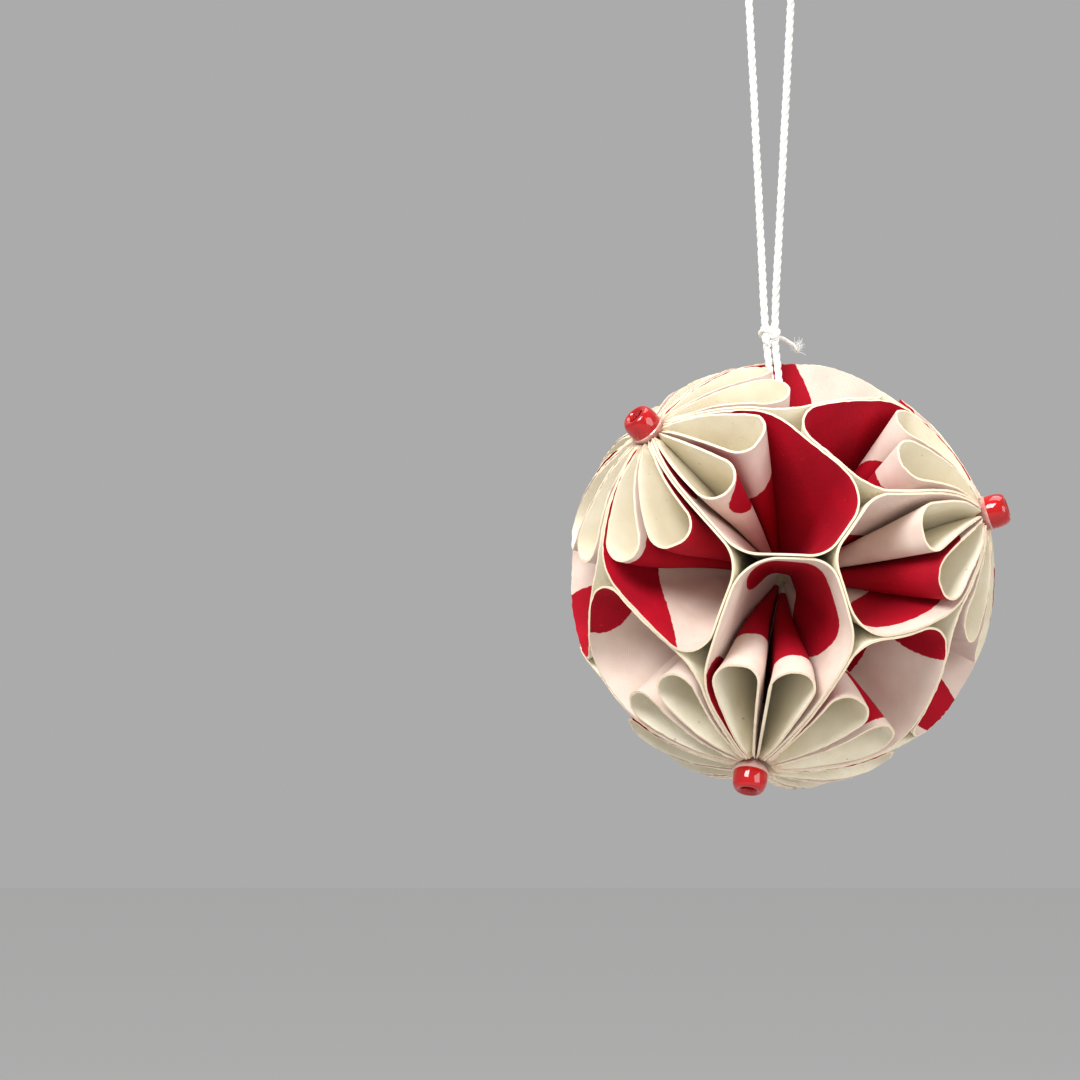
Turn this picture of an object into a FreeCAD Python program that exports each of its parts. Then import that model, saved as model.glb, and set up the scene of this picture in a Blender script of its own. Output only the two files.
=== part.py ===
"""A kusudama: a ball of 24 folded paper petals with four glass beads and a hanging cord.

The ball is four flowers of six petals. Each petal is one round disc of stiff paper whose
radius is the ball's. Three creases that meet at the disc's centre make of it one large
cone, with two small cones folded back inside it, so the disc's rim lies on the ball's
surface and the creases lie on the line from the ball's centre to a bead. The flowers
stand at the corners of a tetrahedron and are all turned a little the same way, so that
every petal closes against its neighbours.

Frame: millimetres, +Z up, +X right, -Y towards the viewer, origin at the ball's centre.
"""
import FreeCAD, Part
import math
import os
import Sketcher
from FreeCAD import Placement, Rotation, Vector

doc = FreeCAD.newDocument("kusudama")
sheet = doc.addObject("Spreadsheet::Sheet", "Sizes")

# The driving dimensions, in millimetres and degrees
SIZES = {
    "ball_radius": 30.0,
    "paper_thickness": 0.35,
    "petal_clearance": 0.1,
    "core_radius": 7.0,
    # How the four flowers stand
    "ball_swing": 9.6,
    "ball_nod": -4.0,
    "ball_roll": -16.4,
    "flower_turn": 12.0,
    "petal_lean": 38.0,
    # Corners of the petals' outlines: degrees from the bead, degrees to the side, rounding
    "corner_right_reach": 51.6, "corner_right_side": -30.0, "corner_right_round": 8.0,
    "corner_far_right_reach": 70.1, "corner_far_right_side": -12.9, "corner_far_right_round": 4.8,
    "corner_far_left_reach": 69.7, "corner_far_left_side": 12.3, "corner_far_left_round": 7.0,
    "corner_left_reach": 36.5, "corner_left_side": 30.0, "corner_left_round": 13.0,
    "edge_right_reach": 40.5, "edge_right_side": -30.0, "edge_right_round": 8.5,
    "edge_tip_reach": 72.4, "edge_tip_side": 1.3, "edge_tip_round": 5.2,
    "edge_left_reach": 53.4, "edge_left_side": 30.0, "edge_left_round": 6.5,
    # The two small cones inside each petal
    "fold_reach": 40.5,
    "fold_outer_side": 26.0,
    "fold_inner_side": 1.6,
    "fold_round": 2.9,
    # A rounded bend is drawn as flats, each turning up to this many degrees
    "flat_turn": 13.0,
    # Glass beads and their glue
    "bead_across": 4.8,
    "bead_height": 4.0,
    "bead_hole": 1.5,
    "bead_sink": 0.8,
    "glue_thickness": 0.3,
    "glue_rise": 0.35,
    # The hanging cord
    "cord_diameter": 1.1,
    "knot_across": 3.6,
    "tail_diameter": 0.9,
}
for row, (name, value) in enumerate(SIZES.items(), start=1):
    sheet.set(f"A{row}", name)
    sheet.set(f"B{row}", str(value))
    sheet.setAlias(f"B{row}", name)
doc.recompute()


def size(name):
    """The value that the sheet holds under this name."""
    return float(sheet.get(name))


def bind(thing, prop, formula):
    """Drive a property of a document object by a formula on the sheet's names."""
    thing.setExpression(prop, formula)


# Outlines of the paper, as corners on a plane one unit from the ball's centre
LEAN = math.radians(size("petal_lean"))
BEAD_LINE = Vector(-math.sin(LEAN), 0, math.cos(LEAN))
OUTWARD = Vector(math.cos(LEAN), 0, math.sin(LEAN))
SIDEWAYS = Vector(0, 1, 0)


def on_plane(reach, side):
    """Where a direction, given by its angles about the bead, crosses the unit plane."""
    reach, side = math.radians(reach), math.radians(side)
    across = OUTWARD * math.cos(side) + SIDEWAYS * math.sin(side)
    aim = BEAD_LINE * math.cos(reach) + across * math.sin(reach)
    return Vector(aim.x / aim.z, aim.y / aim.z, 0)


def corner(name):
    """A named corner of an outline, with its rounding as a share of the ball's radius."""
    rounding = size(f"{name}_round") / size("ball_radius")
    return on_plane(size(f"{name}_reach"), size(f"{name}_side")), rounding


def fold_corner(side):
    """A far corner of a small cone's outline."""
    return on_plane(size("fold_reach"), side), size("fold_round") / size("ball_radius")


BEAD_POINT = (on_plane(0, 0), 0.0)
OUTLINES = {
    "corner": [BEAD_POINT] + [corner(f"corner_{where}")
                              for where in ("right", "far_right", "far_left", "left")],
    "edge": [BEAD_POINT] + [corner(f"edge_{where}") for where in ("right", "tip", "left")],
}
FOLDS = [
    [BEAD_POINT, fold_corner(-size("fold_outer_side")), fold_corner(-size("fold_inner_side"))],
    [BEAD_POINT, fold_corner(size("fold_inner_side")), fold_corner(size("fold_outer_side"))],
]


def section(outline, height, inset):
    """The outline's points on the plane at this height, moved inwards by inset.

    Every side moves parallel to itself and every rounding keeps its centre, so that two
    sections at different heights have the same wall thickness between them. A rounding is
    drawn as short flats, as stiff paper takes it.
    """
    count = len(outline)
    points = [point * height for point, _ in outline]
    sides = [(points[(i + 1) % count] - points[i]).normalize() for i in range(count)]
    inwards = [Vector(-way.y, way.x, 0) for way in sides]
    drawn = []
    for i in range(count):
        before, after = inwards[i - 1], inwards[i]
        middle = (before + after) * (1 / (1 + before.dot(after)))
        if outline[i][1] == 0:
            drawn.append(points[i] + middle * inset)
            continue
        rounding = outline[i][1] * height
        centre = points[i] + middle * rounding
        turn = math.degrees(sides[i - 1].getAngle(sides[i]))
        flats = math.ceil(turn / size("flat_turn"))
        for k in range(flats + 1):
            spoke = Rotation(Vector(0, 0, 1), turn * k / flats).multVec(before * -1)
            drawn.append(centre + spoke * (rounding - inset))
    return [point + Vector(0, 0, height) for point in drawn]


def flat_face(points):
    """The plane face with these corners."""
    return Part.Face(Part.makePolygon(points + points[:1]))


# The cones are drawn from inside the core to beyond the rim, by these shares of each
CORE_SHARE = 0.72
RIM_SHARE = 1.02


def cone(outline, inset):
    """The solid that the outline sweeps from near the ball's centre to beyond its surface."""
    near = section(outline, CORE_SHARE * size("core_radius"), inset)
    far = section(outline, RIM_SHARE * size("ball_radius"), inset)
    faces = [flat_face(near[::-1]), flat_face(far)]
    for i in range(len(near)):
        after = (i + 1) % len(near)
        faces.append(flat_face([near[i], near[after], far[after], far[i]]))
    return Part.makeSolid(Part.makeShell(faces))


def folded_sheet(outline):
    """One petal before its rim is cut: the big cone with the two small ones inside it."""
    thickness = size("paper_thickness")
    edge = size("petal_clearance") / 2
    hollow = cone(outline, edge + thickness).cut([cone(fold, 0.0) for fold in FOLDS])
    return cone(outline, edge).cut([hollow] + [cone(fold, thickness) for fold in FOLDS])


# The spheres that trim the paper
rim = doc.addObject("Part::Sphere", "RimSphere")
bind(rim, "Radius", "Sizes.ball_radius")
core = doc.addObject("Part::Sphere", "CoreSphere")
bind(core, "Radius", "Sizes.core_radius")
shell = doc.addObject("Part::Cut", "PaperShell")
shell.Base, shell.Tool = rim, core
seat = doc.addObject("Part::Sphere", "BeadSeat")
bind(seat, "Radius", "Sizes.bead_across / 2 + Sizes.glue_thickness + Sizes.petal_clearance / 2")
BEAD_CENTRE = "(Sizes.ball_radius - Sizes.bead_sink + Sizes.bead_height / 2)"
bind(seat, "Placement.Base.x", f"-sin(Sizes.petal_lean) * {BEAD_CENTRE}")
bind(seat, "Placement.Base.z", f"cos(Sizes.petal_lean) * {BEAD_CENTRE}")


def petal_master(kind):
    """A petal of this kind in its own frame, its big cone about +Z."""
    blank = doc.addObject("Part::Feature", f"{kind}_blank")
    blank.Shape = folded_sheet(OUTLINES[kind])
    trimmed = doc.addObject("Part::Common", f"{kind}_trimmed")
    trimmed.Base, trimmed.Tool = blank, shell
    petal = doc.addObject("Part::Cut", f"{kind}_petal_master")
    petal.Base, petal.Tool = trimmed, seat
    return petal


def bead_master():
    """A rounded glass bead about +Z, turned from a profile that bulges from its hole."""
    body = doc.addObject("PartDesign::Body", "bead_master")
    plane = next(f for f in body.Origin.OriginFeatures if f.Role == "XZ_Plane")
    sketch = body.newObject("Sketcher::SketchObject", "bead_profile")
    sketch.AttachmentSupport = [(plane, "")]
    sketch.MapMode = "FlatFace"
    bulge = sketch.addGeometry(Part.ArcOfCircle(Part.Circle(Vector(0.4, 0, 0), Vector(0, 0, 1), 2.0),
                                                -1.46, 1.46))
    hole = sketch.addGeometry(Part.LineSegment(Vector(0.6, 2, 0), Vector(0.6, -2, 0)))
    sketch.addConstraint(Sketcher.Constraint("Coincident", bulge, 2, hole, 1))
    sketch.addConstraint(Sketcher.Constraint("Coincident", hole, 2, bulge, 1))
    sketch.addConstraint(Sketcher.Constraint("Vertical", hole))
    sketch.addConstraint(Sketcher.Constraint("PointOnObject", bulge, 3, -1))
    wall = sketch.addConstraint(Sketcher.Constraint("DistanceX", -1, 1, hole, 1, 0.6))
    middle = sketch.addConstraint(Sketcher.Constraint("DistanceX", -1, 1, bulge, 3, 0.4))
    radius = sketch.addConstraint(Sketcher.Constraint("Radius", bulge, 2.0))
    outer, inner, half = "Sizes.bead_across / 2", "Sizes.bead_hole / 2", "Sizes.bead_height / 2"
    centre = f"(({outer})^2 - ({inner})^2 - ({half})^2) / (2 * ({outer} - {inner}))"
    bind(sketch, f"Constraints[{wall}]", inner)
    bind(sketch, f"Constraints[{middle}]", centre)
    bind(sketch, f"Constraints[{radius}]", f"{outer} - {centre}")
    turned = body.newObject("PartDesign::Revolution", "bead_turned")
    turned.Profile = sketch
    turned.ReferenceAxis = (sketch, ["V_Axis"])
    turned.Angle = 360
    return body


def glue_master():
    """The dab of glue under a bead: a cup between the bead and the paper's ends."""
    dab = doc.addObject("Part::Sphere", "glue_ball")
    bind(dab, "Radius", "Sizes.bead_across / 2 + Sizes.glue_thickness")
    bead = doc.addObject("Part::Sphere", "glue_bead")
    bind(bead, "Radius", "Sizes.bead_across / 2")
    top = doc.addObject("Part::Box", "glue_top")
    for side in ("Length", "Width", "Height"):
        bind(top, side, "2 * Sizes.bead_across")
    bind(top, "Placement.Base.x", "-Sizes.bead_across")
    bind(top, "Placement.Base.y", "-Sizes.bead_across")
    bind(top, "Placement.Base.z", "Sizes.bead_sink + Sizes.glue_rise - Sizes.bead_height / 2")
    cup = doc.addObject("Part::Cut", "glue_cup")
    cup.Base, cup.Tool = dab, bead
    level = doc.addObject("Part::Cut", "glue_master")
    level.Base, level.Tool = cup, top
    return level


masters = {kind: petal_master(kind) for kind in OUTLINES}
masters["bead"] = bead_master()
masters["glue"] = glue_master()
doc.recompute()

# Where the flowers stand: the directions of a tetrahedron's corners, seen from the front
CORNER_ANGLE = math.acos(-1 / 3)
BALL_TURN = (Rotation(Vector(0, 0, 1), size("ball_swing"))
             .multiply(Rotation(Vector(1, 0, 0), size("ball_nod")))
             .multiply(Rotation(Vector(0, 1, 0), size("ball_roll"))))


def front_flower(around):
    """The direction of one of the three flowers about the front, before the ball's turn."""
    around = math.radians(around)
    lean = math.pi - CORNER_ANGLE
    return Vector(math.sin(lean) * math.cos(around), -math.cos(lean),
                  math.sin(lean) * math.sin(around))


FLOWERS = {
    "upper_left": front_flower(120),
    "right": front_flower(0),
    "lower": front_flower(240),
    "back": Vector(0, 1, 0),
}


def flower_turn(name):
    """The turn that brings +Z to a flower's bead and +X towards a neighbouring bead."""
    neighbour = next(way for other, way in FLOWERS.items() if other != name)
    return BALL_TURN.multiply(Rotation(neighbour, Vector(), FLOWERS[name], "ZXY"))


pieces = []


def add_piece(label, shape, turn=Rotation()):
    """Keep a solid as a sub-part of its own, turned about the ball's centre."""
    piece = doc.addObject("Part::Feature", label)
    piece.Label = label
    piece.Shape = shape
    piece.Placement = Placement(Vector(), turn).multiply(shape.Placement)
    pieces.append(piece)
    return piece


bead_distance = size("ball_radius") - size("bead_sink") + size("bead_height") / 2
for flower in FLOWERS:
    turn = flower_turn(flower)
    for n in range(6):
        kind = "edge" if n % 2 == 0 else "corner"
        about = Rotation(Vector(0, 0, 1), size("flower_turn") + 60 * n)
        lean = Rotation(Vector(0, 1, 0), size("petal_lean"))
        add_piece(f"{flower}_petal_{n + 1}", masters[kind].Shape.copy(),
                  turn.multiply(about).multiply(lean))
    for name in ("bead", "glue"):
        solid = masters[name].Shape.copy()
        solid.Placement = Placement(Vector(0, 0, bead_distance), Rotation()).multiply(solid.Placement)
        add_piece(f"{flower}_{name}", solid, turn)

# The cord's route, chosen by hand: up out of the ball, round the top and down again
KNOT_CENTRE = Vector(-1.7, -2.4, 33.7)
KNOT_FLAT = 45.0
knot_half = size("knot_across") / 2 * math.sin(math.radians(KNOT_FLAT))
knot_top = KNOT_CENTRE.z + knot_half
knot_foot = KNOT_CENTRE.z - knot_half
CORD_ROUTES = {
    "cord_stem_left": [
        (-2.3, -2.4, knot_foot), (-1.75, -3.0, 29.2), (-1.5, -3.25, 25.8), (-1.3, -3.1, 22.4),
    ],
    "cord_stem_right": [
        (-1.1, -2.4, knot_foot), (-0.55, -3.0, 29.2), (-0.3, -3.25, 25.8), (-0.1, -3.1, 22.4),
    ],
    "hanging_loop": [
        (-2.3, -2.4, knot_top), (-3.1, -2.25, 51.0), (-3.95, -2.35, 68.5), (-4.7, -2.4, 82.5),
        (-4.95, -2.4, 89.9), (-1.65, -2.4, 91.8), (1.65, -2.4, 89.9), (1.4, -2.4, 82.5),
        (0.7, -2.3, 68.5), (-0.2, -2.4, 51.0), (-1.1, -2.4, knot_top),
    ],
    "cord_tail": [
        (-1.2, -2.1, 33.6), (0.3, -1.1, 33.2), (1.6, 0.2, 32.5), (2.6, 1.4, 31.7),
    ],
}
# An arc between two runs takes up this share of the shorter one
ARC_SHARE = 0.45


def cord_path(points):
    """Straight runs joined by tangent arcs through a list of points, and its tightest arc."""
    points = [Vector(*point) for point in points]
    edges, start, tightest = [], points[0], float("inf")
    for before, here, after in zip(points, points[1:], points[2:]):
        arriving, leaving = here - before, after - here
        turn = arriving.getAngle(leaving)
        back = ARC_SHARE * min(arriving.Length, leaving.Length)
        radius = back / math.tan(turn / 2)
        tightest = min(tightest, radius)
        arriving.normalize()
        leaving.normalize()
        first, last = here - arriving * back, here + leaving * back
        to_centre = (leaving - arriving).normalize()
        centre = here + to_centre * (radius / math.cos(turn / 2))
        edges.append(Part.LineSegment(start, first).toShape())
        edges.append(Part.Arc(first, centre - to_centre * radius, last).toShape())
        start = last
    edges.append(Part.LineSegment(start, points[-1]).toShape())
    return Part.Wire(edges), tightest


def cord_tube(label, diameter):
    """The plain tube of one stretch of the cord, with its volume held against its length."""
    path, tightest = cord_path(CORD_ROUTES[label])
    points = [Vector(*point) for point in CORD_ROUTES[label]]
    section = Part.Wire(Part.makeCircle(diameter / 2, points[0], points[1] - points[0]))
    tube = path.makePipeShell([section], True, True)
    share = tube.Volume / (math.pi * diameter ** 2 / 4 * path.Length)
    print(f"{label}: {path.Length:.1f} mm, tightest arc {tightest:.1f} mm, volume share {share:.4f}")
    return tube


knot = doc.addObject("Part::Sphere", "knot_shape")
bind(knot, "Radius", "Sizes.knot_across / 2")
knot.Angle1, knot.Angle2 = -KNOT_FLAT, KNOT_FLAT
knot.Placement = Placement(KNOT_CENTRE, Rotation())
doc.recompute()
add_piece("cord_knot", knot.Shape.copy())
for label in CORD_ROUTES:
    diameter = size("tail_diameter") if label == "cord_tail" else size("cord_diameter")
    tube = cord_tube(label, diameter)
    if label == "cord_tail":
        tube = tube.cut(knot.Shape)
    add_piece(label, tube)

doc.recompute()
for thing in doc.Objects:
    if "Invalid" in thing.State or "Error" in thing.State:
        raise RuntimeError(f"{thing.Name} failed: {thing.State}")
for piece in pieces:
    if piece.Shape.isNull() or not piece.Shape.isValid() or len(piece.Shape.Solids) != 1:
        raise RuntimeError(f"{piece.Label} is not one valid solid")
os.makedirs("parts", exist_ok=True)
for piece in pieces:
    piece.Shape.exportStep(f"parts/{piece.Label}.step")
paper = sum(piece.Shape.Volume for piece in pieces if "_petal_" in piece.Label)
print(f"{len(pieces)} pieces, {paper:.0f} cubic millimetres of paper")
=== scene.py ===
"""A folded-paper kusudama ball on a white cord loop, dressed over its CAD frame.

Each petal is one round disc of printed paper, folded into a large cone with two small
cones inside it. Its mesh is worked out on a grid: one way runs round the disc's rim, the
other from the ball's centre outwards. Lengths in the classes are millimetres, and MM
turns them into metres.
"""
from __future__ import annotations

import logging
import math
from dataclasses import dataclass
from enum import Enum, IntEnum

import bpy
import numpy as np
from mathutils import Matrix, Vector

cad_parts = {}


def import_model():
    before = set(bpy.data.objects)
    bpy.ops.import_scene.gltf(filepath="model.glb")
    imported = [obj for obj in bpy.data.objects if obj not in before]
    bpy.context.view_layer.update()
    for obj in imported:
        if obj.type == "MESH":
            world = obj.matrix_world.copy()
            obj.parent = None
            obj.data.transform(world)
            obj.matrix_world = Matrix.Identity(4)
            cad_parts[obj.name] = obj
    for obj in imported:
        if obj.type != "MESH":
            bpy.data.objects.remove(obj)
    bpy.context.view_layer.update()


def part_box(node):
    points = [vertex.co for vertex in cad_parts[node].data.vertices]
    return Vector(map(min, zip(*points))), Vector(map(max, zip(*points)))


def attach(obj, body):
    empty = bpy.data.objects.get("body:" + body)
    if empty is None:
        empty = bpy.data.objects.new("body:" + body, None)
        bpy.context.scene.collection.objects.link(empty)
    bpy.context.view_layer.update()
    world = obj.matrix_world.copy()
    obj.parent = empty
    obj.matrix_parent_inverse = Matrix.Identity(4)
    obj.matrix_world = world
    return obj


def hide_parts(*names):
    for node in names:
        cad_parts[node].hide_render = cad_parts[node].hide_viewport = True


MM = 0.001
LOG = logging.getLogger("kusudama")


class Face(IntEnum):
    """Which surface of the sheet a mesh face belongs to, as a material index."""

    PRINTED = 0
    PLAIN = 1
    EDGE = 2


class PetalKind(Enum):
    """The two outlines that close the ball: towards a meeting of three flowers, or of two."""

    CORNER = "corner"
    EDGE = "edge"


def unit(way: np.ndarray) -> np.ndarray:
    """Return a vector, or rows of vectors, at length one."""
    return way / np.linalg.norm(way, axis=-1, keepdims=True)


def turned(axis: np.ndarray, degrees: float) -> np.ndarray:
    """Work out a turn about an axis.

    Args:
        axis: unit vector to turn about.
        degrees: angle by the right-hand rule.

    Returns:
        The 3 by 3 matrix: identity, plus sine times the axis's cross matrix K, plus one
        less cosine times K squared.
    """
    angle = math.radians(degrees)
    x, y, z = axis
    cross = np.array([[0, -z, y], [z, 0, -x], [-y, x, 0]])
    return np.eye(3) + math.sin(angle) * cross + (1 - math.cos(angle)) * cross @ cross


def linear(red: int, green: int, blue: int) -> tuple[float, float, float, float]:
    """Turn a colour of 0 to 255 a channel, as a screen shows it, into linear RGBA."""
    share = np.array([red, green, blue]) / 255
    low = share / 12.92
    high = ((share + 0.055) / 1.055) ** 2.4
    return (*np.where(share <= 0.04045, low, high).tolist(), 1.0)


def mesh_object(name: str, points: np.ndarray, faces: np.ndarray,
                smooth: float = 40.0) -> bpy.types.Object:
    """Make an object from arrays, with edges sharper than an angle left sharp.

    Args:
        name: the piece's name.
        points: rows of x, y, z in millimetres in the row frame.
        faces: rows of four corner indices, facing outwards.
        smooth: the angle in degrees up to which neighbouring faces shade as one.

    Returns:
        The new object, linked to the scene.
    """
    mesh = bpy.data.meshes.new(name)
    mesh.from_pydata((points * MM).tolist(), [], faces.tolist())
    mesh.polygons.foreach_set("use_smooth", np.ones(len(faces), dtype=bool))
    mesh.set_sharp_from_angle(angle=math.radians(smooth))
    mesh.update()
    piece = bpy.data.objects.new(name, mesh)
    bpy.context.scene.collection.objects.link(piece)
    return piece


def ring_faces(around: int, along: int, start: int = 0,
               closed_along: bool = False) -> np.ndarray:
    """Number the quads of a grid that closes on itself one way.

    Args:
        around: count of points round each ring.
        along: count of rings.
        start: index of the grid's first point.
        closed_along: True where the last ring joins the first, as on a torus.

    Returns:
        Rows of four indices; ring j's point i is start + j * around + i.
    """
    rings = along if closed_along else along - 1
    i, j = np.meshgrid(np.arange(around), np.arange(rings))
    i, j = i.ravel(), j.ravel()
    right, up = (i + 1) % around, (j + 1) % along
    corners = [j * around + i, j * around + right, up * around + right, up * around + i]
    return start + np.stack(corners, 1)


def tube_faces(around: int, along: int, start: int) -> list[list[int]]:
    """Number a tube's faces: quads along it and one flat face closing each end."""
    faces = ring_faces(around, along, start).tolist()
    last = start + (along - 1) * around
    faces.append([start + i for i in reversed(range(around))])
    faces.append([last + i for i in range(around)])
    return faces


def tube_points(path: np.ndarray, radii: np.ndarray, around: int) -> np.ndarray:
    """Carry a circle along a path.

    Args:
        path: rows of points.
        radii: the circle's radius at each point.
        around: count of points round the circle.

    Returns:
        Points ring by ring: centre plus radius times (cosine of the angle times a first
        normal, plus sine times a second). The first normal is carried along the path by
        taking out, at each point, its share along the path's direction.
    """
    ways = unit(np.gradient(path, axis=0))
    helper = np.array([0.31, 0.93, 0.17])
    firsts = np.zeros_like(path)
    for k, way in enumerate(ways):
        helper = helper - helper @ way * way
        helper /= np.linalg.norm(helper)
        firsts[k] = helper
    seconds = np.cross(ways, firsts)
    angles = np.linspace(0, 2 * math.pi, around, endpoint=False)
    cosine, sine = np.cos(angles)[None, :, None], np.sin(angles)[None, :, None]
    wheel = cosine * firsts[:, None] + sine * seconds[:, None]
    return (path[:, None] + radii[:, None, None] * wheel).reshape(-1, 3)


# Finishes


class NodeTree:
    """A material's node tree, with short ways to add and join nodes."""

    def __init__(self, name: str) -> None:
        """Start a material of this name with a Principled shader."""
        self.material = bpy.data.materials.new(name)
        self.material.use_nodes = True
        self.nodes = self.material.node_tree.nodes
        self.links = self.material.node_tree.links
        self.shader = self.nodes["Principled BSDF"]

    def add(self, kind: str, **settings: object) -> bpy.types.Node:
        """Add a node of this kind, and set its properties or, by input name, its sockets."""
        node = self.nodes.new(kind)
        for key, value in settings.items():
            if hasattr(node, key):
                setattr(node, key, value)
            else:
                node.inputs[key.replace("_", " ")].default_value = value
        return node

    def join(self, source: bpy.types.NodeSocket, target: bpy.types.NodeSocket) -> None:
        """Join an output to an input."""
        self.links.new(source, target)

    def mixed(self, factor: bpy.types.NodeSocket | float, first: object,
              second: object) -> bpy.types.NodeSocket:
        """Mix two colours, each a socket or an RGBA value, and return the result's socket."""
        node = self.add("ShaderNodeMix", data_type="RGBA")
        sockets = (node.inputs[0], node.inputs[6], node.inputs[7])
        for socket, value in zip(sockets, (factor, first, second)):
            if isinstance(value, bpy.types.NodeSocket):
                self.join(value, socket)
            else:
                socket.default_value = value
        return node.outputs[2]

    def noise(self, scale: float, detail: float = 3.0) -> bpy.types.NodeSocket:
        """Add noise of this many waves a metre and return its value's socket."""
        node = self.add("ShaderNodeTexNoise", Scale=scale, Detail=detail)
        self.join(self.add("ShaderNodeTexCoord").outputs["Object"], node.inputs["Vector"])
        return node.outputs["Fac"]

    def clouds(self, scale: float, first: tuple[int, int, int], second: tuple[int, int, int],
               low: float = 0.3) -> bpy.types.NodeSocket:
        """Mix two colours of 0 to 255 a channel in soft clouds."""
        return self.mixed(self.ramp(self.noise(scale), low, 0.7), linear(*first), linear(*second))

    def ramp(self, value: bpy.types.NodeSocket, low: float, high: float,
             to_low: float = 0.0, to_high: float = 1.0) -> bpy.types.NodeSocket:
        """Map a value's range smoothly to another and return the result's socket."""
        node = self.add("ShaderNodeMapRange", interpolation_type="SMOOTHSTEP")
        self.join(value, node.inputs["Value"])
        limits = {"From Min": low, "From Max": high, "To Min": to_low, "To Max": to_high}
        for name, number in limits.items():
            node.inputs[name].default_value = number
        return node.outputs["Result"]

    def set(self, **numbers: float) -> None:
        """Set the shader's sockets, each by its name with underscores for spaces."""
        for name, number in numbers.items():
            self.shader.inputs[name.replace("_", " ")].default_value = number

    def coat(self, colour: bpy.types.NodeSocket) -> None:
        """Give the shader its colour."""
        self.join(colour, self.shader.inputs["Base Color"])

    def bump(self, height: bpy.types.NodeSocket, strength: float, distance: float) -> None:
        """Raise the surface by a height socket, times a distance in metres."""
        node = self.add("ShaderNodeBump", Strength=strength, Distance=distance)
        self.join(height, node.inputs["Height"])
        self.join(node.outputs["Normal"], self.shader.inputs["Normal"])


@dataclass(frozen=True)
class PaperFinish:
    """Stiff cotton paper: crimson fields printed on one side, and the plain other side."""

    crimson: tuple[int, int, int] = (172, 0, 30)
    crimson_deep: tuple[int, int, int] = (152, 0, 26)
    ground: tuple[int, int, int] = (226, 208, 195)
    ground_shade: tuple[int, int, int] = (214, 193, 180)
    plain: tuple[int, int, int] = (238, 230, 210)
    plain_shade: tuple[int, int, int] = (226, 216, 192)
    edge: tuple[int, int, int] = (232, 214, 188)
    edge_shade: tuple[int, int, int] = (222, 200, 172)
    fleck: tuple[int, int, int] = (150, 128, 96)

    def printed(self) -> bpy.types.Material:
        """Make the printed side: crimson where the sheet's "print" attribute is above zero."""
        tree = NodeTree("paper_printed")
        depth = tree.add("ShaderNodeAttribute", attribute_name="print").outputs["Fac"]
        wobble = tree.ramp(tree.noise(1500.0), 0.0, 1.0, -0.12, 0.12)
        shifted = tree.add("ShaderNodeMath", operation="ADD")
        tree.join(depth, shifted.inputs[0])
        tree.join(wobble, shifted.inputs[1])
        inked = tree.ramp(shifted.outputs[0], -0.05, 0.05)
        ground = tree.clouds(180.0, self.ground, self.ground_shade)
        crimson = tree.clouds(120.0, self.crimson, self.crimson_deep)
        specks = tree.ramp(tree.noise(2600.0, 1.0), 0.78, 0.82, 0.0, 0.25)
        crimson = tree.mixed(specks, crimson, linear(*self.ground_shade))
        tree.coat(tree.mixed(inked, ground, crimson))
        tree.set(Roughness=0.8, Specular_IOR_Level=0.2)
        self.weave(tree, 0.14)
        return tree.material

    def blank(self) -> bpy.types.Material:
        """Make the plain side: warm cream with faint clouds and a few flecks."""
        tree = NodeTree("paper_plain")
        colour = tree.clouds(160.0, self.plain, self.plain_shade)
        flecks = tree.ramp(tree.noise(1300.0, 1.0), 0.74, 0.8, 0.0, 0.5)
        tree.coat(tree.mixed(flecks, colour, linear(*self.fleck)))
        tree.set(Roughness=0.86, Specular_IOR_Level=0.3)
        self.weave(tree, 0.12)
        return tree.material

    def cut(self) -> bpy.types.Material:
        """Make the cut edge: pale fibres."""
        tree = NodeTree("paper_edge")
        tree.coat(tree.clouds(5000.0, self.edge, self.edge_shade))
        tree.set(Roughness=0.9)
        tree.bump(tree.noise(6000.0), 0.5, 0.00008)
        return tree.material

    @staticmethod
    def weave(tree: NodeTree, strength: float) -> None:
        """Give a sheet the fine crossed texture of cotton paper, laid on its flat map."""
        flat = tree.add("ShaderNodeUVMap", uv_map="disc").outputs["UV"]
        threads = []
        for direction in ("X", "Y"):
            wave = tree.add("ShaderNodeTexWave", bands_direction=direction,
                            Scale=58.0, Distortion=3.0, Detail=1.0)
            tree.join(flat, wave.inputs["Vector"])
            threads.append(wave.outputs["Fac"])
        crossed = tree.add("ShaderNodeMath", operation="ADD")
        for socket, thread in zip(crossed.inputs, threads):
            tree.join(thread, socket)
        rough = tree.add("ShaderNodeMath", operation="ADD")
        tree.join(crossed.outputs[0], rough.inputs[0])
        tree.join(tree.noise(2200.0, 4.0), rough.inputs[1])
        tree.bump(rough.outputs[0], strength, 0.00006)


@dataclass(frozen=True)
class GlassFinish:
    """Clear red glass with a glossy fire-polished surface."""

    colour: tuple[int, int, int] = (206, 0, 6)
    deep: tuple[int, int, int] = (176, 0, 5)

    def material(self) -> bpy.types.Material:
        """Make the glass: mostly coloured body, part of it see-through."""
        tree = NodeTree("bead_glass")
        tree.coat(tree.clouds(300.0, self.colour, self.deep))
        tree.set(Roughness=0.05, IOR=1.5, Transmission_Weight=0.3)
        tree.set(Coat_Weight=0.2, Coat_Roughness=0.03)
        return tree.material


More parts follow.
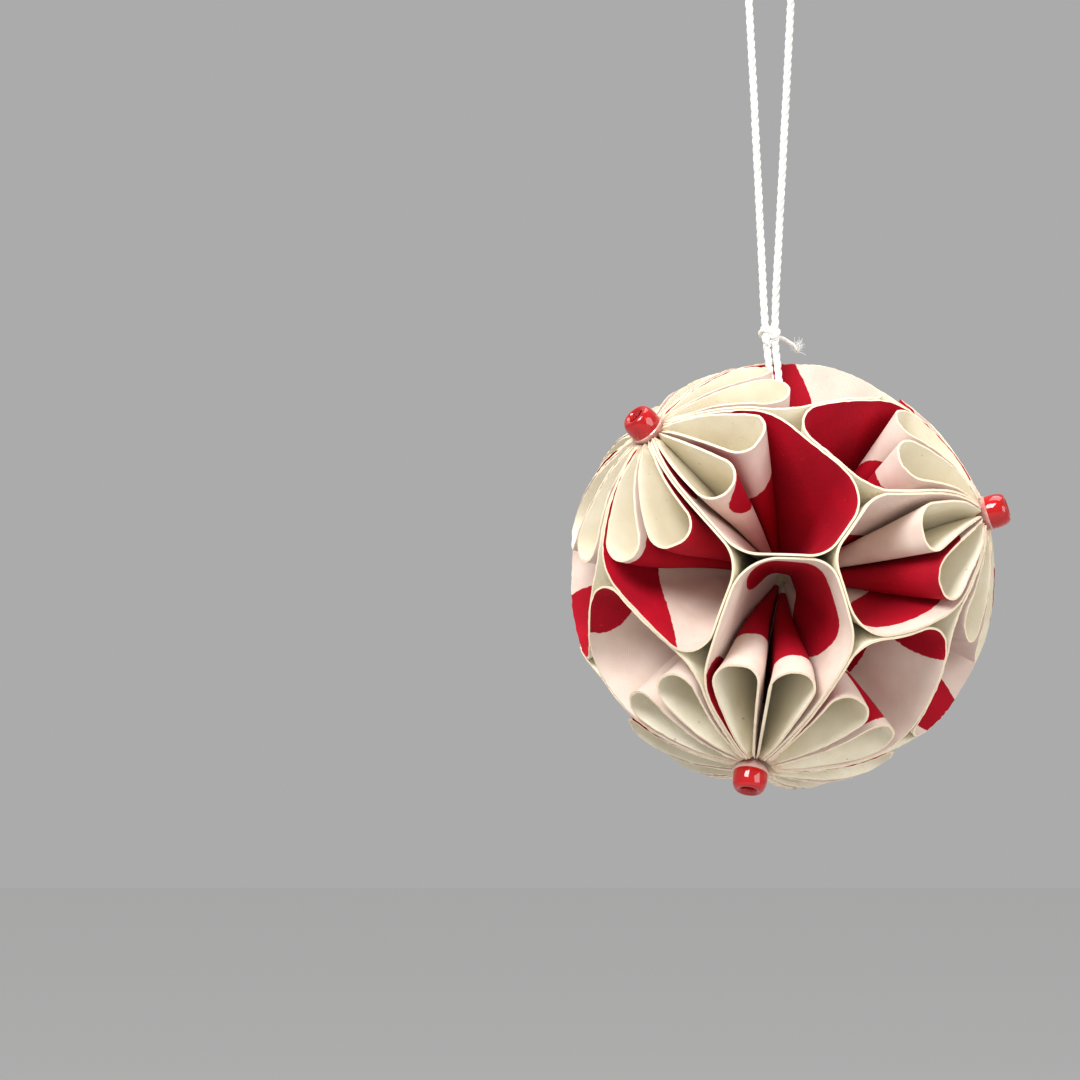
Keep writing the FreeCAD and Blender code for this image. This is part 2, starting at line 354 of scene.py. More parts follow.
@dataclass(frozen=True)
class GlueFinish:
    """Dried craft glue, milky and pink in soft clouds."""

    milky: tuple[int, int, int] = (226, 186, 176)
    tinted: tuple[int, int, int] = (212, 128, 122)

    def material(self) -> bpy.types.Material:
        """Make the glue: pinkish, half see-through and wet-looking."""
        tree = NodeTree("glue_clear")
        tree.coat(tree.clouds(700.0, self.milky, self.tinted, 0.35))
        tree.set(Roughness=0.18, IOR=1.47, Transmission_Weight=0.3, Coat_Weight=0.5)
        return tree.material


@dataclass(frozen=True)
class CottonFinish:
    """White cotton yarn with soft fibres."""

    white: tuple[int, int, int] = (240, 240, 236)
    shade: tuple[int, int, int] = (214, 214, 208)

    def material(self) -> bpy.types.Material:
        """Make the yarn: off-white, matt, with fine fibre relief and a little sheen."""
        tree = NodeTree("cotton_yarn")
        tree.coat(tree.clouds(900.0, self.white, self.shade))
        tree.set(Roughness=0.92, Sheen_Weight=0.3)
        tree.bump(tree.noise(7000.0, 4.0), 0.6, 0.00006)
        return tree.material


# The paper


@dataclass(frozen=True)
class Corner:
    """A rounded corner of an outline.

    reach is in degrees from the bead, side in degrees to the side, and rounding in mm.
    """

    reach: float
    side: float
    rounding: float = 0.0


@dataclass(frozen=True)
class BallSizes:
    """The ball's own sizes, the same as the solids'."""

    radius: float = 30.0
    thickness: float = 0.35
    clearance: float = 0.1
    flower_turn: float = 12.0
    petal_lean: float = 38.0
    sector: float = 30.0
    bead_across: float = 4.8
    bead_height: float = 4.0
    bead_hole: float = 1.5
    bead_sink: float = 0.8
    glue: float = 0.3
    glue_rise: float = 0.35
    full_thickness_from: float = 8.0
    inner_end: float = 2.5

    def bead_centre(self) -> float:
        """Return how far a bead's centre is from the ball's."""
        return self.radius - self.bead_sink + self.bead_height / 2


SIZES = BallSizes()
OUTLINES = {
    PetalKind.CORNER: (Corner(51.6, -30.0, 8.0), Corner(70.1, -12.9, 4.8),
                       Corner(69.7, 12.3, 7.0), Corner(36.5, 30.0, 13.0)),
    PetalKind.EDGE: (Corner(40.5, -30.0, 8.5), Corner(72.4, 1.3, 5.2), Corner(53.4, 30.0, 6.5)),
}
FOLD_REACH = 40.5
FOLD_OUTER_SIDE = 26.0
FOLD_INNER_SIDE = 1.6
FOLD_ROUND = 2.9


@dataclass(frozen=True)
class Oval:
    """One crimson field of the print, placed on the flat disc.

    turn is where its centre lies round the disc in degrees, out how far from the disc's
    centre in mm, and across and along are its half sizes round and outwards in mm.
    """

    turn: float
    out: float
    across: float
    along: float
    tilt: float = 0.0


class SectionPlane:
    """A petal's own frame: its cone about +Z, and outlines drawn one unit from the centre."""

    def __init__(self, lean: float) -> None:
        """Set up the directions of the bead's line, outwards from it, and to the side."""
        angle = math.radians(lean)
        self.bead = np.array([-math.sin(angle), 0.0, math.cos(angle)])
        self.outward = np.array([math.cos(angle), 0.0, math.sin(angle)])
        self.sideways = np.array([0.0, 1.0, 0.0])

    def point(self, corner: Corner) -> np.ndarray:
        """Return where a corner's direction crosses the plane one unit out."""
        reach, side = math.radians(corner.reach), math.radians(corner.side)
        across = self.outward * math.cos(side) + self.sideways * math.sin(side)
        aim = self.bead * math.cos(reach) + across * math.sin(reach)
        return aim[:2] / aim[2]

    def outline(self, corners: tuple[Corner, ...], count: int) -> tuple[np.ndarray, np.ndarray]:
        """Sample a rounded outline evenly, from the bead's point round and back to it.

        Args:
            corners: the outline's corners after the bead's point, anticlockwise.
            count: how many samples to give.

        Returns:
            Points on the plane, and at each the way that the paper's face moves when it is
            set in by one millimetre. On a side it is the side's inward normal, on a
            rounding it points at the rounding's centre, and at the bead's sharp point it
            is the sum of both normals over one plus their product.
        """
        places = np.array([self.point(Corner(0.0, 0.0))] + [self.point(c) for c in corners])
        rounding = np.array([0.0] + [c.rounding / SIZES.radius for c in corners])
        sides = unit(np.roll(places, -1, axis=0) - places)
        inwards = np.stack([-sides[:, 1], sides[:, 0]], 1)
        points, insets = [], []
        for i, radius in enumerate(rounding):
            before, after = inwards[i - 1], inwards[i]
            bisector = (before + after) / (1 + before @ after)
            if radius == 0:
                points.append(places[i][None])
                insets.append(bisector[None])
                continue
            centre = places[i] + bisector * radius
            first = math.atan2(-before[1], -before[0])
            last = math.atan2(-after[1], -after[0])
            last += 2 * math.pi if last < first else 0.0
            angles = np.linspace(first, last, 40)
            spokes = np.stack([np.cos(angles), np.sin(angles)], 1)
            points.append(centre + radius * spokes)
            insets.append(-spokes)
        points.append(points[0])
        insets.append(insets[0])
        points, insets = np.concatenate(points), np.concatenate(insets)
        aims = unit(np.column_stack([points, np.ones(len(points))]))
        steps = np.arccos(np.clip((aims[1:] * aims[:-1]).sum(1), -1, 1))
        lengths = np.concatenate([[0.0], np.cumsum(steps)])
        wanted = np.linspace(0, lengths[-1], count)
        sampled = [np.interp(wanted, lengths, column) for column in (*points.T, *insets.T)]
        return np.stack(sampled[:2], 1), np.stack(sampled[2:], 1)


@dataclass
class Petal:
    """One folded disc of paper."""

    name: str
    kind: PetalKind
    turn: np.ndarray
    ovals: tuple[Oval, ...]
    seed: int
    left_reach: float = 0.0
    right_reach: float = 0.0
    big_count: int = 118
    fold_count: int = 64
    levels: int = 15
    finishes: tuple[bpy.types.Material, ...] = ()

    @staticmethod
    def face(outline: tuple[np.ndarray, np.ndarray], inset: np.ndarray,
             heights: np.ndarray) -> np.ndarray:
        """Carry one face of the paper outwards from the ball's centre.

        Args:
            outline: the samples and inset ways from SectionPlane.outline.
            inset: how far the face is set in at each level, in mm.
            heights: the distance from the centre of each level, by sample and level.

        Returns:
            Points by sample and level: the outline's point Q on the unit plane times h,
            plus the inset d times its way N, where h is the positive root of
            |h Q + d N| = r.
        """
        points, ways = outline
        rays = np.column_stack([points, np.ones(len(points))])[:, None]
        shifts = np.column_stack([ways, np.zeros(len(ways))])[:, None] * inset[None, :, None]
        square = (rays ** 2).sum(-1)
        middle = (rays * shifts).sum(-1)
        rest = (shifts ** 2).sum(-1) - heights ** 2
        reach = (-middle + np.sqrt(np.maximum(middle ** 2 - square * rest, 0))) / square
        return reach[..., None] * rays + shifts

    @staticmethod
    def kept_off(plane: SectionPlane, points: np.ndarray, side: int,
                 gap: np.ndarray) -> np.ndarray:
        """Push a small cone's face off the large cone's wall, which it meets near the bead.

        Args:
            plane: the petal's frame.
            points: the face's points by sample and level.
            side: 1 for the left wall, -1 for the right.
            gap: the least distance from the flat between two petals, in mm, by level.

        Returns:
            The points, moved along the wall's normal where they were nearer than gap.
        """
        angle = math.radians(SIZES.sector)
        normal = plane.outward * math.sin(angle) - side * plane.sideways * math.cos(angle)
        short = np.maximum(gap[None] - points @ normal, 0)
        return points + short[..., None] * normal

    def rim(self, plane: SectionPlane, points: np.ndarray, noise: np.ndarray) -> np.ndarray:
        """Work out how far out each sample's rim is.

        The rim lies on the ball, a little unevenly cut, but under the seat that the bead
        and its glue press into the paper: a sphere about the bead's centre.
        """
        rays = unit(np.column_stack([points, np.ones(len(points))]))
        aside = np.sqrt(np.maximum(1 - (rays @ plane.bead) ** 2, 0)) * SIZES.radius
        seat = SIZES.bead_across / 2 + SIZES.glue
        dip = SIZES.bead_centre() - np.sqrt(np.maximum(seat ** 2 - aside ** 2, 0))
        pressed = np.where(aside < seat, dip, SIZES.radius + 1)
        return np.minimum(SIZES.radius + noise, pressed)

    def build(self) -> bpy.types.Object:
        """Make the folded sheet as one closed grid: printed face, plain face and cut edges."""
        plane = SectionPlane(SIZES.petal_lean)
        dice = np.random.default_rng(self.seed)
        loops, sides, is_fold = [], [], []
        loops.append(plane.outline(OUTLINES[self.kind], self.big_count))
        sides.append(0)
        for side, longer in ((1, self.left_reach), (-1, self.right_reach)):
            reach = FOLD_REACH + dice.uniform(-2.0, 2.0) + longer
            outer = side * (FOLD_OUTER_SIDE + dice.uniform(-1.2, 0.6))
            inner = side * (FOLD_INNER_SIDE + dice.uniform(-0.4, 1.0))
            tuck = dice.uniform(-2.5, 1.0)
            ends = (Corner(reach + tuck, inner, FOLD_ROUND), Corner(reach, outer, FOLD_ROUND + 0.3))
            corners = ends if side == 1 else ends[::-1]
            points, ways = plane.outline(corners, self.fold_count)
            loops.append((points[::-1], ways[::-1]))
            sides.append(side)
        share = np.linspace(0, 1, self.levels) ** 0.8
        printed, plain = [], []
        for (points, ways), side in zip(loops, sides):
            wavy = self.cut_noise(dice, len(points))
            top = self.rim(plane, points, wavy)
            heights = SIZES.inner_end + (top[:, None] - SIZES.inner_end) * share[None]
            taper = np.minimum(1.0, heights.mean(0) / SIZES.full_thickness_from)
            thick, edge = SIZES.thickness * taper, SIZES.clearance / 2 * taper
            outline = (points, ways)
            if side == 0:
                printed.append(self.face(outline, edge + thick, heights))
                plain.append(self.face(outline, edge, heights))
            else:
                off = edge + thick + 0.04 * taper
                outer_face = self.face(outline, 0.02 * taper, heights)
                inner_face = self.face(outline, thick, heights)
                printed.append(self.kept_off(plane, outer_face, side, off))
                plain.append(self.kept_off(plane, inner_face, side, off + thick))
        disc = self.disc_places([p for p, _ in loops], share)
        return self.mesh(np.concatenate(printed), np.concatenate(plain), disc)

    def cut_noise(self, dice: np.random.Generator, count: int) -> np.ndarray:
        """Return the uneven cut of a rim: a few slow waves and some fine roughness, in mm."""
        place = np.linspace(0, 2 * math.pi, count)
        waves = zip((1, 2, 3, 5), dice.uniform(0, 6, 4))
        slow = sum(0.09 * math.sin(p) * np.sin(k * place + p) for k, p in waves)
        fine = dice.normal(0, 0.035, count)
        return slow + fine - 0.12

    def disc_places(self, loops: list[np.ndarray], share: np.ndarray) -> np.ndarray:
        """Lay the sheet flat: each sample's place on the disc, in mm, by sample and level."""
        lengths = []
        for points in loops:
            aims = unit(np.column_stack([points, np.ones(len(points))]))
            steps = np.arccos(np.clip((aims[1:] * aims[:-1]).sum(1), -1, 1))
            lengths.append(np.concatenate([[0.0], steps]))
        angles = np.cumsum(np.concatenate(lengths))
        angles *= 2 * math.pi / angles[-1]
        out = SIZES.inner_end + (SIZES.radius - SIZES.inner_end) * share
        spokes = np.stack([np.cos(angles), np.sin(angles)], 1)
        return spokes[:, None] * out[None, :, None]

    def print_depth(self, disc: np.ndarray) -> np.ndarray:
        """Measure how far inside the nearest crimson field each place is, in mm.

        For an oval of half sizes a and b it is (1 - sqrt((x / a)^2 + (y / b)^2)) times
        the smaller of a and b, with x and y measured along the oval's own axes.
        """
        best = np.full(disc.shape[:-1], -5.0)
        for oval in self.ovals:
            angle = math.radians(oval.turn)
            outward = np.array([math.cos(angle), math.sin(angle)])
            lean = math.radians(oval.tilt)
            aside = np.array([-outward[1], outward[0]])
            long_way = outward * math.cos(lean) + aside * math.sin(lean)
            wide_way = aside * math.cos(lean) - outward * math.sin(lean)
            place = disc - outward * oval.out
            size = np.hypot(place @ wide_way / oval.across, place @ long_way / oval.along)
            best = np.maximum(best, (1 - size) * min(oval.across, oval.along))
        return best

    def mesh(self, printed: np.ndarray, plain: np.ndarray, disc: np.ndarray) -> bpy.types.Object:
        """Join the two faces at their rims and give the object its finishes."""
        count, levels = printed.shape[:2]
        layers = np.concatenate([plain, printed[:, ::-1]], axis=1)
        rings = layers.transpose(1, 0, 2).reshape(-1, 3)
        points = swayed(rings @ self.turn.T)
        faces = ring_faces(count, 2 * levels, closed_along=True)
        piece = mesh_object(self.name, points, faces)
        index = np.full(2 * levels, Face.EDGE.value)
        index[:levels - 1] = Face.PLAIN.value
        index[levels:2 * levels - 1] = Face.PRINTED.value
        piece.data.polygons.foreach_set("material_index", np.repeat(index, count).astype(np.int32))
        flat = np.concatenate([disc, disc[:, ::-1]], axis=1).transpose(1, 0, 2).reshape(-1, 2)
        corners = np.zeros(len(piece.data.loops), dtype=np.int32)
        piece.data.loops.foreach_get("vertex_index", corners)
        uv = piece.data.uv_layers.new(name="disc")
        uv.data.foreach_set("uv", (0.5 + flat[corners] / (2 * SIZES.radius)).astype(np.float32).ravel())
        depth = piece.data.attributes.new("print", "FLOAT", "POINT")
        depth.data.foreach_set("value", self.print_depth(flat).astype(np.float32))
        for finish in self.finishes:
            piece.data.materials.append(finish)
        return piece


def swayed(points: np.ndarray) -> np.ndarray:
    """Give the whole ball the small unevenness of handwork.

    Every point moves along the ball's surface by three sines of its own place, up to
    about half a millimetre at the rim and less inside, so neighbours move together.
    """
    waves = np.stack([
        np.sin(0.19 * points[:, 1] + 0.13 * points[:, 2] + 0.7),
        np.sin(0.17 * points[:, 2] - 0.15 * points[:, 0] + 2.1),
        np.sin(0.21 * points[:, 0] + 0.12 * points[:, 1] + 4.0),
    ], 1)
    out = np.linalg.norm(points, axis=1, keepdims=True)
    way = points / np.maximum(out, 1e-6)
    along = waves - (waves * way).sum(1, keepdims=True) * way
    return points + 0.55 * along * out / SIZES.radius


@dataclass
class PaperBall:
    """The 24 petals, in four flowers about the beads."""

    paper: PaperFinish = PaperFinish()
    flowers: tuple[str, ...] = ("upper_left", "right", "lower", "back")

    PRINTS = {
        "upper_left_petal_6": (
            Oval(112, 19, 20, 14), Oval(208, 11, 10, 11),
            Oval(300, 25, 8, 6), Oval(20, 28, 5, 4),
        ),
        "upper_left_petal_5": (Oval(35, 46, 60, 25), Oval(208, 20, 14, 11), Oval(312, 19, 12, 10)),
        "upper_left_petal_1": (Oval(152, 24, 18, 20), Oval(188, 27, 5, 5), Oval(40, 12, 9, 8)),
        "upper_left_petal_4": (Oval(80, 27, 8, 7), Oval(160, 26, 5, 9), Oval(250, 20, 9, 8)),
        "lower_petal_6": (
            Oval(72, 16, 12, 9), Oval(150, 27, 9, 5),
            Oval(212, 12, 10, 9), Oval(312, 15, 13, 10),
        ),
        "lower_petal_5": (
            Oval(146, 22, 12, 11), Oval(60, 9, 12, 9),
            Oval(84, 28, 6, 10), Oval(300, 24, 8, 5),
        ),
        "lower_petal_1": (Oval(90, 28, 6, 5), Oval(22, 25, 5, 6), Oval(222, 14, 8, 7)),
        "right_petal_2": (Oval(134, 21, 13, 6), Oval(214, 20, 16, 13), Oval(40, 10, 8, 6)),
        "right_petal_1": (Oval(64, 22, 25, 20), Oval(206, 16, 10, 9), Oval(288, 17, 9, 9)),
        "right_petal_3": (
            Oval(58, 24, 10, 11), Oval(102, 22, 6, 13),
            Oval(142, 27, 8, 8), Oval(250, 22, 8, 7),
        ),
    }

    # Degrees by which the left and right small cones differ where the camera sees them
    FOLD_CHANGES = {
        "upper_left_petal_6": (-2.5, -1.0),
        "upper_left_petal_1": (-2.5, -3.0),
        "right_petal_2": (-1.0, -0.5),
        "lower_petal_1": (2.5, 2.5),
    }

    def ovals(self, name: str, dice: np.random.Generator) -> tuple[Oval, ...]:
        """Return a petal's crimson fields: chosen where the camera sees it, else dealt out."""
        dealt = tuple(
            Oval(turn + dice.uniform(-22, 22), dice.uniform(15, 25), dice.uniform(8, 14),
                 dice.uniform(7, 13), dice.uniform(-30, 30))
            for turn in (50, 130, 215, 310)[: dice.integers(3, 5)]
        )
        return self.PRINTS.get(name, dealt)

    def build(self) -> list[bpy.types.Object]:
        """Fold every petal, place it and let it stand for its solid."""
        finishes = (self.paper.printed(), self.paper.blank(), self.paper.cut())
        centres = {name: box_centre(f"{name}_bead") for name in self.flowers}
        dice = np.random.default_rng(24)
        made = []
        for name in self.flowers:
            bead = unit(centres[name])
            neighbour = unit(next(centres[other] for other in self.flowers if other != name))
            towards = unit(neighbour - neighbour @ bead * bead)
            flower = np.column_stack([towards, np.cross(bead, towards), bead])
            for n in range(6):
                node = f"{name}_petal_{n + 1}"
                about = turned(np.array([0, 0, 1]), SIZES.flower_turn + 60 * n)
                lean = turned(np.array([0, 1, 0]), SIZES.petal_lean)
                kind = PetalKind.EDGE if n % 2 == 0 else PetalKind.CORNER
                longer = self.FOLD_CHANGES.get(node, (0.0, 0.0))
                petal = Petal(f"{node}_sheet", kind, flower @ about @ lean,
                              self.ovals(node, dice), 100 + len(made), *longer,
                              finishes=finishes)
                piece = petal.build()
                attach(piece, "root")
                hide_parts(node)
                made.append(piece)
                LOG.info("petal %s, %s", node, kind.value)
        return made


def box_centre(node: str) -> np.ndarray:
    """Return the middle of a node's box, in mm."""
    low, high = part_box(node)
    return (np.array(low) + np.array(high)) / 2 / MM


# Beads, glue and cord


@dataclass
class FlowerHeart:
    """A glass bead and the dab of glue that holds it."""

    flower: str
    glass: bpy.types.Material
    glue: bpy.types.Material
    around: int = 56

    def frame(self) -> tuple[np.ndarray, np.ndarray]:
        """Return the bead's centre, and the matrix whose third column is its hole's way."""
        centre = box_centre(f"{self.flower}_bead")
        way = unit(centre)
        first = unit(np.cross(way, [0.2, 0.1, 1.0]))
        return centre, np.column_stack([first, np.cross(way, first), way])

    def revolved(self, name: str, profile: np.ndarray, lumps: float) -> bpy.types.Object:
        """Turn a closed profile of radius and height about the hole's way.

        The radius is multiplied by one plus lumps times a slow sine of the turning angle.
        """
        angles = np.linspace(0, 2 * math.pi, self.around, endpoint=False)
        swell = 1 + lumps * (np.sin(2 * angles + 0.8) + 0.6 * np.sin(5 * angles + 2.0))
        radius = profile[:, 0, None] * swell[None]
        height = np.repeat(profile[:, 1, None], self.around, 1)
        ring = np.stack([radius * np.cos(angles), radius * np.sin(angles), height], -1)
        centre, matrix = self.frame()
        points = ring.reshape(-1, 3) @ matrix.T + centre
        faces = ring_faces(self.around, len(profile), closed_along=True)
        return mesh_object(name, points, faces, 60.0)

    def build(self) -> list[bpy.types.Object]:
        """Make both pieces: the bead as a fat rounded ring, the glue as a low skirt under it."""
        inner, outer, half = SIZES.bead_hole / 2, SIZES.bead_across / 2, SIZES.bead_height / 2
        turn = np.linspace(0, 2 * math.pi, 40, endpoint=False)
        middle, reach = (inner + outer) / 2, (outer - inner) / 2
        power = 0.94
        bead_profile = np.stack([
            middle + reach * np.sign(np.cos(turn)) * np.abs(np.cos(turn)) ** power,
            half * np.sign(np.sin(turn)) * np.abs(np.sin(turn)) ** power,
        ], 1)
        bead = self.revolved(f"{self.flower}_bead_glass", bead_profile, 0.006)
        bead.data.materials.append(self.glass)
        skirt = outer + SIZES.glue - 0.03
        rim_height = SIZES.bead_sink + SIZES.glue_rise - half
        fall = np.linspace(math.asin(rim_height / skirt), -math.pi / 2 + 0.02, 14)
        outside = np.stack([skirt * np.cos(fall), skirt * np.sin(fall)], 1)
        near = outer - 0.06
        rise = fall[::-1] + 0.05
        inside = np.stack([near * np.cos(rise), near * 0.97 * np.sin(rise)], 1)
        glue_profile = np.concatenate([inside, outside])[::-1]
        glue = self.revolved(f"{self.flower}_glue_dab", glue_profile, 0.012)
        glue.data.materials.append(self.glue)
        for piece, node, slot in ((bead, "bead", "red_glass"), (glue, "glue", "glue")):
            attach(piece, "root")
            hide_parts(f"{self.flower}_{node}")
        return [bead, glue]


@dataclass
class HangingCord:
    """The twisted cotton cord: out of the ball, round the loop and back, with its knot."""

    cotton: bpy.types.Material
    diameter: float = 1.1
    plies: int = 3
    lay: float = 3.6
    route: tuple[tuple[float, float, float], ...] = (
        (-1.3, -3.1, 22.4), (-1.5, -3.25, 25.8), (-1.75, -3.0, 29.2), (-2.3, -2.4, 33.7),
        (-3.1, -2.25, 51.0), (-3.95, -2.35, 68.5), (-4.7, -2.4, 82.5), (-4.95, -2.4, 89.9),
        (-1.65, -2.4, 91.8), (1.65, -2.4, 89.9), (1.4, -2.4, 82.5), (0.7, -2.3, 68.5),
        (-0.2, -2.4, 51.0), (-1.1, -2.4, 33.7), (-0.55, -3.0, 29.2), (-0.3, -3.25, 25.8),
        (-0.1, -3.1, 22.4),
    )
    tail_route: tuple[tuple[float, float, float], ...] = (
        (-1.2, -2.1, 33.6), (0.3, -1.1, 33.2), (1.6, 0.2, 32.5), (2.4, 1.1, 31.5),
    )

    def centreline(self) -> np.ndarray:
        """Read evenly spaced points, in mm, from the smooth spline of the route."""
        curve = bpy.data.curves.new("cord_route", "CURVE")
        curve.dimensions = "3D"
        curve.resolution_u = 24
        spline = curve.splines.new("NURBS")
        spline.points.add(len(self.route) - 1)
        for point, place in zip(spline.points, self.route):
            point.co = (*(c * MM for c in place), 1.0)
        spline.order_u = 3
        spline.use_endpoint_u = True
        holder = bpy.data.objects.new("cord_route", curve)
        mesh = bpy.data.meshes.new_from_object(holder)
        points = np.zeros(len(mesh.vertices) * 3)
        mesh.vertices.foreach_get("co", points)
        points = points.reshape(-1, 3) / MM
        bpy.data.meshes.remove(mesh)
        bpy.data.objects.remove(holder)
        bpy.data.curves.remove(curve)
        steps = np.linalg.norm(np.diff(points, axis=0), axis=1)
        lengths = np.concatenate([[0.0], np.cumsum(steps)])
        wanted = np.linspace(0, lengths[-1], int(lengths[-1] / 0.3))
        return np.stack([np.interp(wanted, lengths, column) for column in points.T], 1)

    def twisted(self, name: str, path: np.ndarray, radius: float,
                around: int = 10) -> bpy.types.Object:
        """Lay the plies round a path as a rope's strands.

        Args:
            name: the piece's name.
            path: the rope's centreline in mm.
            radius: the rope's outer radius in mm.
            around: points round each ply.

        Returns:
            The rope. Ply k's centre is the path's point plus an offset that turns once
            every lay: the offset's angle is 2 pi (s / lay + k / plies).
        """
        ways = unit(np.gradient(path, axis=0))
        steps = np.linalg.norm(np.diff(path, axis=0), axis=1)
        along = np.concatenate([[0.0], np.cumsum(steps)])
        first = unit(np.cross(ways, [0.05, 1.0, 0.02]))
        second = np.cross(ways, first)
        ply = radius * 0.52
        points, faces = [], []
        for k in range(self.plies):
            angle = 2 * math.pi * (along / self.lay + k / self.plies)
            offset = np.cos(angle)[:, None] * first + np.sin(angle)[:, None] * second
            centre = path + (radius - ply) * offset
            swell = ply * (1 + 0.05 * np.sin(along * 2.3 + k))
            start = sum(len(p) for p in points)
            points.append(tube_points(centre, swell, around))
            faces += tube_faces(around, len(path), start)
        return self.yarn(name, np.concatenate(points), faces)

    def yarn(self, name: str, points: np.ndarray,
             faces: list[list[int]]) -> bpy.types.Object:
        """Make an object of yarn from points in mm and faces of any length."""
        mesh = bpy.data.meshes.new(name)
        mesh.from_pydata((points * MM).tolist(), [], faces)
        mesh.polygons.foreach_set("use_smooth", np.ones(len(faces), dtype=bool))
        mesh.materials.append(self.cotton)
        piece = bpy.data.objects.new(name, mesh)
        bpy.context.scene.collection.objects.link(piece)
        return piece

    def knot(self) -> bpy.types.Object:
        """Tie a small overhand knot: a trefoil, flattened and drawn tight about the strands.

        Its path is (sin t + 2 sin 2t, -sin 3t, cos t - 2 cos 2t), scaled each way.
        """
        centre = box_centre("cord_knot")
        t = np.linspace(0, 2 * math.pi, 150)
        path = np.stack([
            0.36 * (np.sin(t) + 2 * np.sin(2 * t)),
            -0.62 * np.sin(3 * t),
            0.42 * (np.cos(t) - 2 * np.cos(2 * t)),
        ], 1) + centre
        return self.twisted("cord_knot_tied", path, self.diameter * 0.54, 9)

    @staticmethod
    def fuzz(dice: np.random.Generator, roots: np.ndarray, ways: np.ndarray,
             length: float, thick: float) -> tuple[np.ndarray, list[list[int]]]:
        """Stand thin bent fibres on given places.

        Each fibre's point at share u is its root, plus u times length along its way, plus
        u squared times a random sag, and its radius falls from thick to a third of it.
        """
        share = np.linspace(0, 1, 6)
        points, faces = [], []
        for root, way in zip(roots, ways):
            sag = dice.normal(0, 0.22, 3) * length
            reach = length * dice.uniform(0.6, 1.1)
            path = root + share[:, None] * way * reach + (share ** 2)[:, None] * sag
            start = 4 * len(share) * len(points)
            points.append(tube_points(path, thick * (1 - 0.66 * share), 4))
            faces += tube_faces(4, len(share), start)
        return np.concatenate(points), faces

    def frayed_end(self, dice: np.random.Generator) -> bpy.types.Object:
        """Make the cut end that leaves the knot, thinned and splayed into fine fibres."""
        share = np.linspace(0, 1, 18)
        route = np.array(self.tail_route)
        marks = np.linspace(0, 1, len(route))
        path = np.stack([np.interp(share, marks, column) for column in route.T], 1)
        stalk = tube_points(path, 0.36 * (1 - 0.5 * share), 10)
        faces = tube_faces(10, len(share), 0)
        count = 52
        ways = unit(dice.normal(0, 0.36, (count, 3)) + [0.42, 0.0, 0.9])
        roots = path[-1] + dice.normal(0, 0.13, (count, 3)) - [0.2, 0.0, 0.1]
        points, tufts = self.fuzz(dice, roots, ways, 1.75, 0.042)
        faces += [[i + len(stalk) for i in face] for face in tufts]
        return self.yarn("cord_tail_frayed", np.concatenate([stalk, points]), faces)

    def build(self) -> list[bpy.types.Object]:
        dice = np.random.default_rng(7)
        path = self.centreline()
        cord = self.twisted("cord_twisted", path, self.diameter / 2)
        knot = self.knot()
        tail = self.frayed_end(dice)
        strands = ("hanging_loop", "cord_stem_left", "cord_stem_right")
        for piece, nodes in ((cord, strands), (knot, ("cord_knot",)), (tail, ("cord_tail",))):
            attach(piece, "root")
            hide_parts(*nodes)
        return [cord, knot, tail]


# The studio


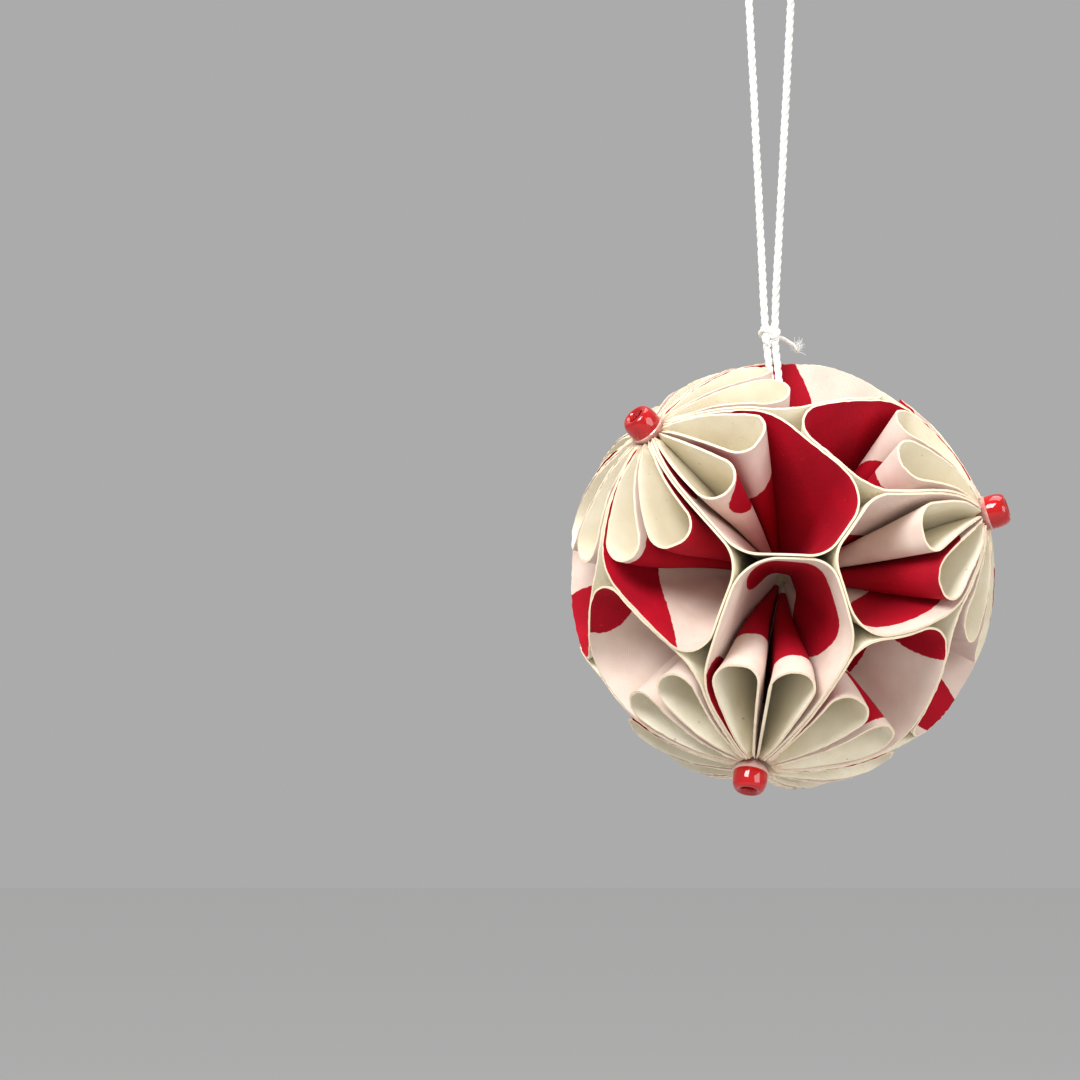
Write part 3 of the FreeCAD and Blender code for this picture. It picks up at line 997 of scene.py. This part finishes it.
@dataclass
class Studio:
    """The photograph's camera, a plain backdrop and soft light."""

    mm_per_pixel: float = 0.14018
    ball_x: float = 781.0
    ball_y: float = 576.0
    frame_pixels: float = 1080.0
    distance: float = 900.0
    grey: tuple[int, int, int] = (171, 171, 171)
    floor_height: float = -125.0

    def camera(self) -> None:
        """Stand the camera so that the ball falls where the photograph has it."""
        data = bpy.data.cameras.new("camera")
        camera = bpy.data.objects.new("camera", data)
        bpy.context.scene.collection.objects.link(camera)
        middle = self.frame_pixels / 2
        camera.location = (
            (middle - self.ball_x) * self.mm_per_pixel * MM,
            -self.distance * MM,
            (self.ball_y - middle) * self.mm_per_pixel * MM,
        )
        camera.rotation_euler = (math.pi / 2, 0, 0)
        data.sensor_width = 36.0
        data.lens = data.sensor_width * self.distance / (self.frame_pixels * self.mm_per_pixel)
        data.clip_start = 0.05
        data.clip_end = 10
        bpy.context.scene.camera = camera

    @staticmethod
    def lamp(name: str, place: tuple[float, float, float], size: float,
             watts: float) -> None:
        """Hang a square soft lamp at a place in metres, facing the ball."""
        data = bpy.data.lights.new(name, "AREA")
        data.shape = "SQUARE"
        data.size = size
        data.energy = watts
        lamp = bpy.data.objects.new(name, data)
        lamp.location = place
        lamp.rotation_mode = "QUATERNION"
        lamp.rotation_quaternion = (-Vector(place)).to_track_quat("-Z", "Y")
        bpy.context.scene.collection.objects.link(lamp)

    def world(self) -> None:
        """Light the room evenly, and show the camera, and what is seen through glass, the plain grey.
        """
        world = bpy.data.worlds.new("room")
        bpy.context.scene.world = world
        world.use_nodes = True
        nodes, links = world.node_tree.nodes, world.node_tree.links
        shown = nodes.new("ShaderNodeBackground")
        shown.inputs["Color"].default_value = linear(*self.grey)
        soft = nodes["Background"]
        soft.inputs["Color"].default_value = (1.0, 0.985, 0.96, 1.0)
        soft.inputs["Strength"].default_value = 0.56
        path = nodes.new("ShaderNodeLightPath")
        either = nodes.new("ShaderNodeMath")
        either.operation = "MAXIMUM"
        mix = nodes.new("ShaderNodeMixShader")
        links.new(path.outputs["Is Camera Ray"], either.inputs[0])
        links.new(path.outputs["Is Transmission Ray"], either.inputs[1])
        links.new(either.outputs[0], mix.inputs[0])
        links.new(soft.outputs[0], mix.inputs[1])
        links.new(shown.outputs[0], mix.inputs[2])
        links.new(mix.outputs[0], nodes["World Output"].inputs["Surface"])

    def floor(self) -> None:
        """Lay a wide pale floor well below the ball."""
        bpy.ops.mesh.primitive_plane_add(size=3.0, location=(0, 0, self.floor_height * MM))
        floor = bpy.context.object
        floor.name = "floor"
        tree = NodeTree("floor_grey")
        tree.shader.inputs["Base Color"].default_value = linear(178, 178, 178)
        tree.shader.inputs["Roughness"].default_value = 0.9
        shown = tree.add("ShaderNodeEmission", Color=linear(*self.grey), Strength=1.0)
        path = tree.add("ShaderNodeLightPath")
        share = tree.ramp(path.outputs["Is Camera Ray"], 0.0, 1.0, 0.0, 0.8)
        mix = tree.add("ShaderNodeMixShader")
        tree.join(share, mix.inputs[0])
        tree.join(tree.shader.outputs[0], mix.inputs[1])
        tree.join(shown.outputs[0], mix.inputs[2])
        tree.join(mix.outputs[0], tree.nodes["Material Output"].inputs["Surface"])
        floor.data.materials.append(tree.material)

    def build(self) -> None:
        """Set up camera, world, lamps, floor and the plain view transform."""
        self.camera()
        self.world()
        self.floor()
        self.lamp("key", (-0.35, -0.62, 0.62), 0.45, 11.0)
        self.lamp("fill", (0.6, -0.5, 0.15), 0.5, 3.2)
        self.lamp("top", (0.05, 0.1, 0.7), 0.5, 3.2)
        bpy.context.scene.view_settings.view_transform = "Standard"


def main() -> None:
    """Build the ball over its frame, piece by piece."""
    logging.basicConfig(level=logging.INFO, format="%(message)s")
    bpy.ops.wm.read_factory_settings(use_empty=True)
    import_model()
    Studio().build()
    cotton = CottonFinish().material()
    HangingCord(cotton).build()
    PaperBall().build()
    glass, glue = GlassFinish().material(), GlueFinish().material()
    for flower in PaperBall.flowers:
        FlowerHeart(flower, glass, glue).build()
        LOG.info("bead and glue of %s", flower)


if __name__ == "__main__":
    main()
